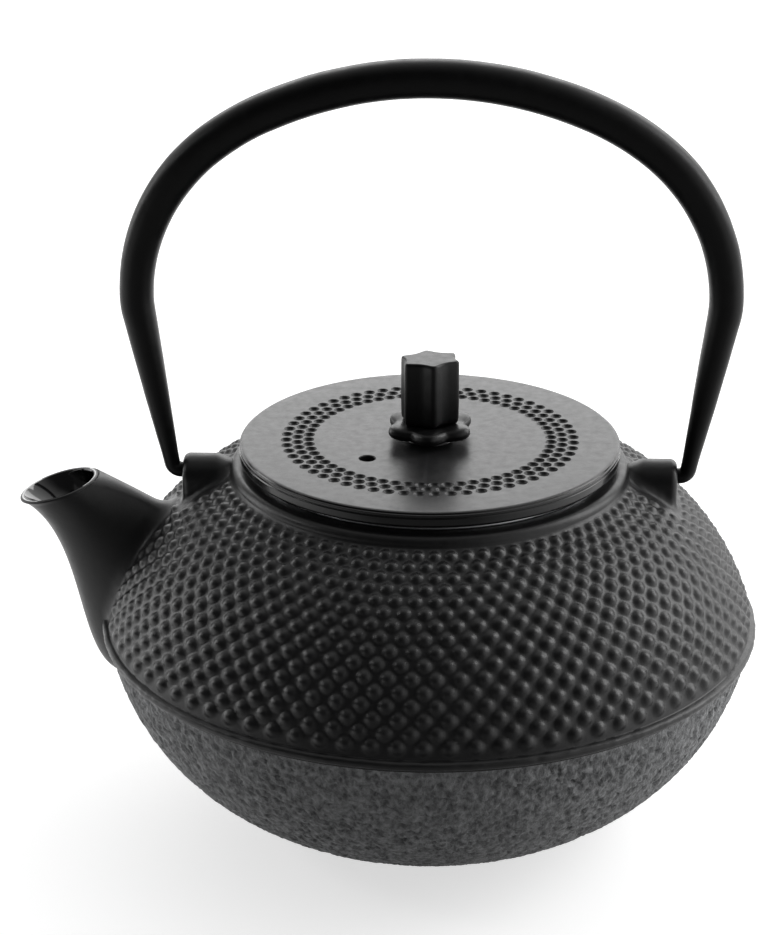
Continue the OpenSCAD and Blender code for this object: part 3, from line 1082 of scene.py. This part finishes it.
def brushed_steel(name, stretch):
    """Stainless sheet with fine brushing along one direction."""
    m = Shader(name)
    lines = m.noise(900, 4, 0.7, stretch)
    m.feed("Base Color", m.ramp(lines, [(0.3, (0.50, 0.51, 0.52)), (0.7, (0.70, 0.71, 0.73))]))
    m.feed("Roughness", m.span(lines, 0.3, 0.7, 0.22, 0.4))
    m.set(Metallic=1.0)
    m.bump((lines, 0.12, 0.00006))
    return m.material


# --- camera, light and floor -------------------------------------------------

# Strength of the light tent on each side, and of the backdrop as seen.
BACK_LIGHT = 0.88
RIGHT_LIGHT = 1.0
TOP_LIGHT = 0.3
FILL_LIGHT = 0.05
BACKDROP_SEEN = 0.97
FLOOR_SEEN = 0.62


def look_at(obj, target):
    way = Vector(target) - obj.location
    obj.rotation_euler = way.to_track_quat("-Z", "Y").to_euler()


def make_camera():
    data = bpy.data.cameras.new("camera")
    camera = bpy.data.objects.new("camera", data)
    bpy.context.scene.collection.objects.link(camera)
    azimuth = math.radians(1.2)
    away, height, pitch = 0.6294, 0.3482, math.radians(22.32)
    aside = math.radians(0.85)
    camera.location = (away * math.sin(azimuth), -away * math.cos(azimuth), height)
    camera.rotation_euler = (math.pi / 2 - pitch, 0, azimuth + aside)
    data.lens = 105.4
    data.sensor_width = 36
    data.clip_end = 20
    bpy.context.scene.camera = camera


def area_light(name, at, target, width, height, watts):
    data = bpy.data.lights.new(name, "AREA")
    data.shape = "RECTANGLE"
    data.size = width
    data.size_y = height
    data.energy = watts
    light = bpy.data.objects.new(name, data)
    bpy.context.scene.collection.objects.link(light)
    light.location = at
    look_at(light, target)


def studio_world():
    """Light tent: bright behind and to the right, dark on the camera's side.

    The camera itself sees a plain pale backdrop in every direction.
    """
    world = bpy.data.worlds.new("studio")
    bpy.context.scene.world = world
    world.use_nodes = True
    nodes, links = world.node_tree.nodes, world.node_tree.links
    split = nodes.new("ShaderNodeSeparateXYZ")
    links.new(nodes.new("ShaderNodeTexCoord").outputs["Generated"], split.inputs[0])

    def part(axis, low, high, bright):
        node = nodes.new("ShaderNodeMapRange")
        node.interpolation_type = "SMOOTHSTEP"
        for key, value in (("From Min", low), ("From Max", high), ("To Min", 0.0),
                           ("To Max", bright)):
            node.inputs[key].default_value = value
        links.new(split.outputs[axis], node.inputs["Value"])
        return node.outputs["Result"]

    def add(first, second):
        node = nodes.new("ShaderNodeMath")
        for socket, value in zip(node.inputs, (first, second)):
            if isinstance(value, float):
                socket.default_value = value
            else:
                links.new(value, socket)
        return node.outputs[0]

    light = add(add(part("Y", -0.25, 0.75, BACK_LIGHT), part("X", 0.2, 0.95, RIGHT_LIGHT)),
                add(part("Z", 0.75, 1.0, TOP_LIGHT), FILL_LIGHT))
    seen = nodes.new("ShaderNodeMix")
    links.new(nodes.new("ShaderNodeLightPath").outputs["Is Camera Ray"], seen.inputs[0])
    links.new(light, seen.inputs[2])
    seen.inputs[3].default_value = BACKDROP_SEEN
    links.new(seen.outputs[0], nodes["Background"].inputs["Strength"])
    nodes["Background"].inputs["Color"].default_value = (1, 1, 1, 1)


def floor_material():
    """Pale floor that lights the pot from the sides and from behind.

    Less comes from the front, as from a floor that ends close before the camera.
    """
    m = Shader("studio_floor")
    pale = m.ramp(m.noise(3, 2), [(0.3, (0.68, 0.68, 0.68)), (0.7, (0.72, 0.72, 0.72))])
    seen = m.nodes.new("ShaderNodeLightPath").outputs["Is Camera Ray"]
    m.feed("Base Color", m.mix(seen, (0.25, 0.25, 0.25), pale))
    split = m.nodes.new("ShaderNodeSeparateXYZ")
    m.links.new(m.place, split.inputs[0])
    aside = m.nodes.new("ShaderNodeMath")
    aside.operation = "ABSOLUTE"
    m.links.new(split.outputs["X"], aside.inputs[0])
    back = m.nodes.new("ShaderNodeMath")
    m.links.new(aside.outputs[0], back.inputs[0])
    m.links.new(split.outputs["Y"], back.inputs[1])
    glow = m.span(back.outputs[0], -0.12, 0.25, 0.02, 1.15)
    choose = m.nodes.new("ShaderNodeMix")
    m.links.new(seen, choose.inputs[0])
    m.links.new(glow, choose.inputs[2])
    choose.inputs[3].default_value = FLOOR_SEEN
    m.feed("Emission Strength", choose.outputs[0])
    m.set(Roughness=0.9, Specular_IOR_Level=0.1, Emission_Color=(1, 1, 1, 1))
    return m.material


def make_studio():
    studio_world()
    middle = (0, 0, 0.07)
    area_light("back", (0.15, 1.5, 0.75), middle, 2.0, 0.9, 11)
    area_light("right", (1.2, 0.35, 0.75), middle, 0.7, 1.1, 9)
    area_light("left", (-1.3, 0.5, 0.35), middle, 0.4, 0.8, 3.6)
    area_light("glint", (-1.1, -0.1, 0.75), middle, 0.15, 0.25, 0.9)
    bpy.ops.mesh.primitive_grid_add(x_subdivisions=8, y_subdivisions=8, size=10)
    floor = bpy.context.active_object
    floor.name = "floor"
    floor.location = (0, 0, -0.0002)
    floor.data.materials.append(floor_material())
    bpy.context.scene.view_settings.view_transform = "Standard"


# --- assembly ----------------------------------------------------------------


def dress(obj, body, slot, *materials):
    obj.data.materials.clear()
    for material in materials:
        obj.data.materials.append(material)
    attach(obj, body)
    return obj


make_camera()
make_studio()

shoulder_iron = iron("shoulder_iron", (0.007, 0.007, 0.0074), (0.012, 0.012, 0.0125),
                     0.36, 0.3, shine=0.42)
# The bowl is paler than the shoulder partly for its rough grey finish and partly as painted
# light that stands in for the floor's bounce.
bowl_iron_with_painted_light = rough_iron_painted_shade_and_highlights("bowl_iron_with_painted_light", (0.04, 0.041, 0.042), (0.28, 0.285, 0.29))
spout_iron = iron("spout_iron", (0.005, 0.005, 0.0053), (0.008, 0.008, 0.0084), 0.36, 0.2)
handle_iron = iron("handle_iron", (0.0015, 0.0015, 0.0016), (0.003, 0.003, 0.0032), 0.38,
                   0.2, shine=0.2)
lid_iron = iron("lid_iron", (0.008, 0.008, 0.0084), (0.013, 0.013, 0.0136), 0.34, 0.1,
                shine=0.45)
# Darker, glossier copy of the lid's iron for its side band: the lower roughness is the finish,
# the darker tone is painted shade.
lid_side_gloss_and_painted_shade = iron("lid_side_gloss_and_painted_shade", (0.002, 0.002, 0.0021), (0.004, 0.004, 0.0042), 0.2, 0.1,
                 shine=0.4)
knob_iron = iron("knob_iron", (0.002, 0.002, 0.0021), (0.005, 0.005, 0.0053), 0.34, 0.2)
black_enamel = enamel("black_enamel")
steel_round = brushed_steel("steel_round", (0.05, 0.05, 1.0))
steel_flat = brushed_steel("steel_flat", (0.06, 1.0, 1.0))

shoulder = make_shoulder()
lining = make_lining()
punch(shoulder, channel_cutter())
punch(lining, channel_cutter())
dress(shoulder, "teapot", "pot_iron", shoulder_iron)
dress(lining, "teapot", "pot_iron", black_enamel)
dress(make_seam(), "teapot", "pot_iron", shoulder_iron)
bowl = dress(make_bowl(), "teapot", "pot_iron", bowl_iron_with_painted_light)
dress(make_foot(), "teapot", "pot_iron", bowl_iron_with_painted_light)
dress(make_neck(), "teapot", "pot_iron", spout_iron)
spout, enamel_rows = make_spout()
dress(spout, "teapot", "pot_iron", spout_iron, black_enamel)
for face in spout.data.polygons:
    if face.index < enamel_rows * SPOUT_COLS:
        face.material_index = 1
for name, side in (("lug_right", 1), ("lug_left", -1)):
    dress(make_lug(name, side), "teapot", "pot_iron", spout_iron)
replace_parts(shoulder, "pot_shoulder")
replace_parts(bowl, "pot_bowl")
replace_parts(spout, "pot_spout")

handle = dress(make_handle(), "bail", "handle_iron", handle_iron)
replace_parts(handle, "handle")

for make, node, slot, finish_of in (
        (make_lid, "lid", "lid_iron", lid_iron), (make_knob, "knob", "knob_iron", knob_iron),
        (make_seat, "knob_seat", "knob_iron", knob_iron),
        (make_washer, "knob_washer", "steel", steel_flat)):
    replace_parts(dress(make(), "cover", slot, finish_of), node)
lid = bpy.data.objects["lid_cast"]
# The side faces of the lid's rim take the darker copy, as painted shade.
lid.data.materials.append(lid_side_gloss_and_painted_shade)
for face in lid.data.polygons:
    face.material_index = int(abs(face.normal.z) < 0.6 and face.center.xy.length > 0.045)

for make, node, finish_of in (
        (make_infuser_rim, "infuser_rim", steel_round),
        (make_infuser_wall, "infuser_wall", steel_round),
        (make_infuser_hoop, "infuser_hoop", steel_round),
        (make_infuser_base, "infuser_base", steel_flat)):
    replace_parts(dress(make(), "strainer", "steel", finish_of), node)
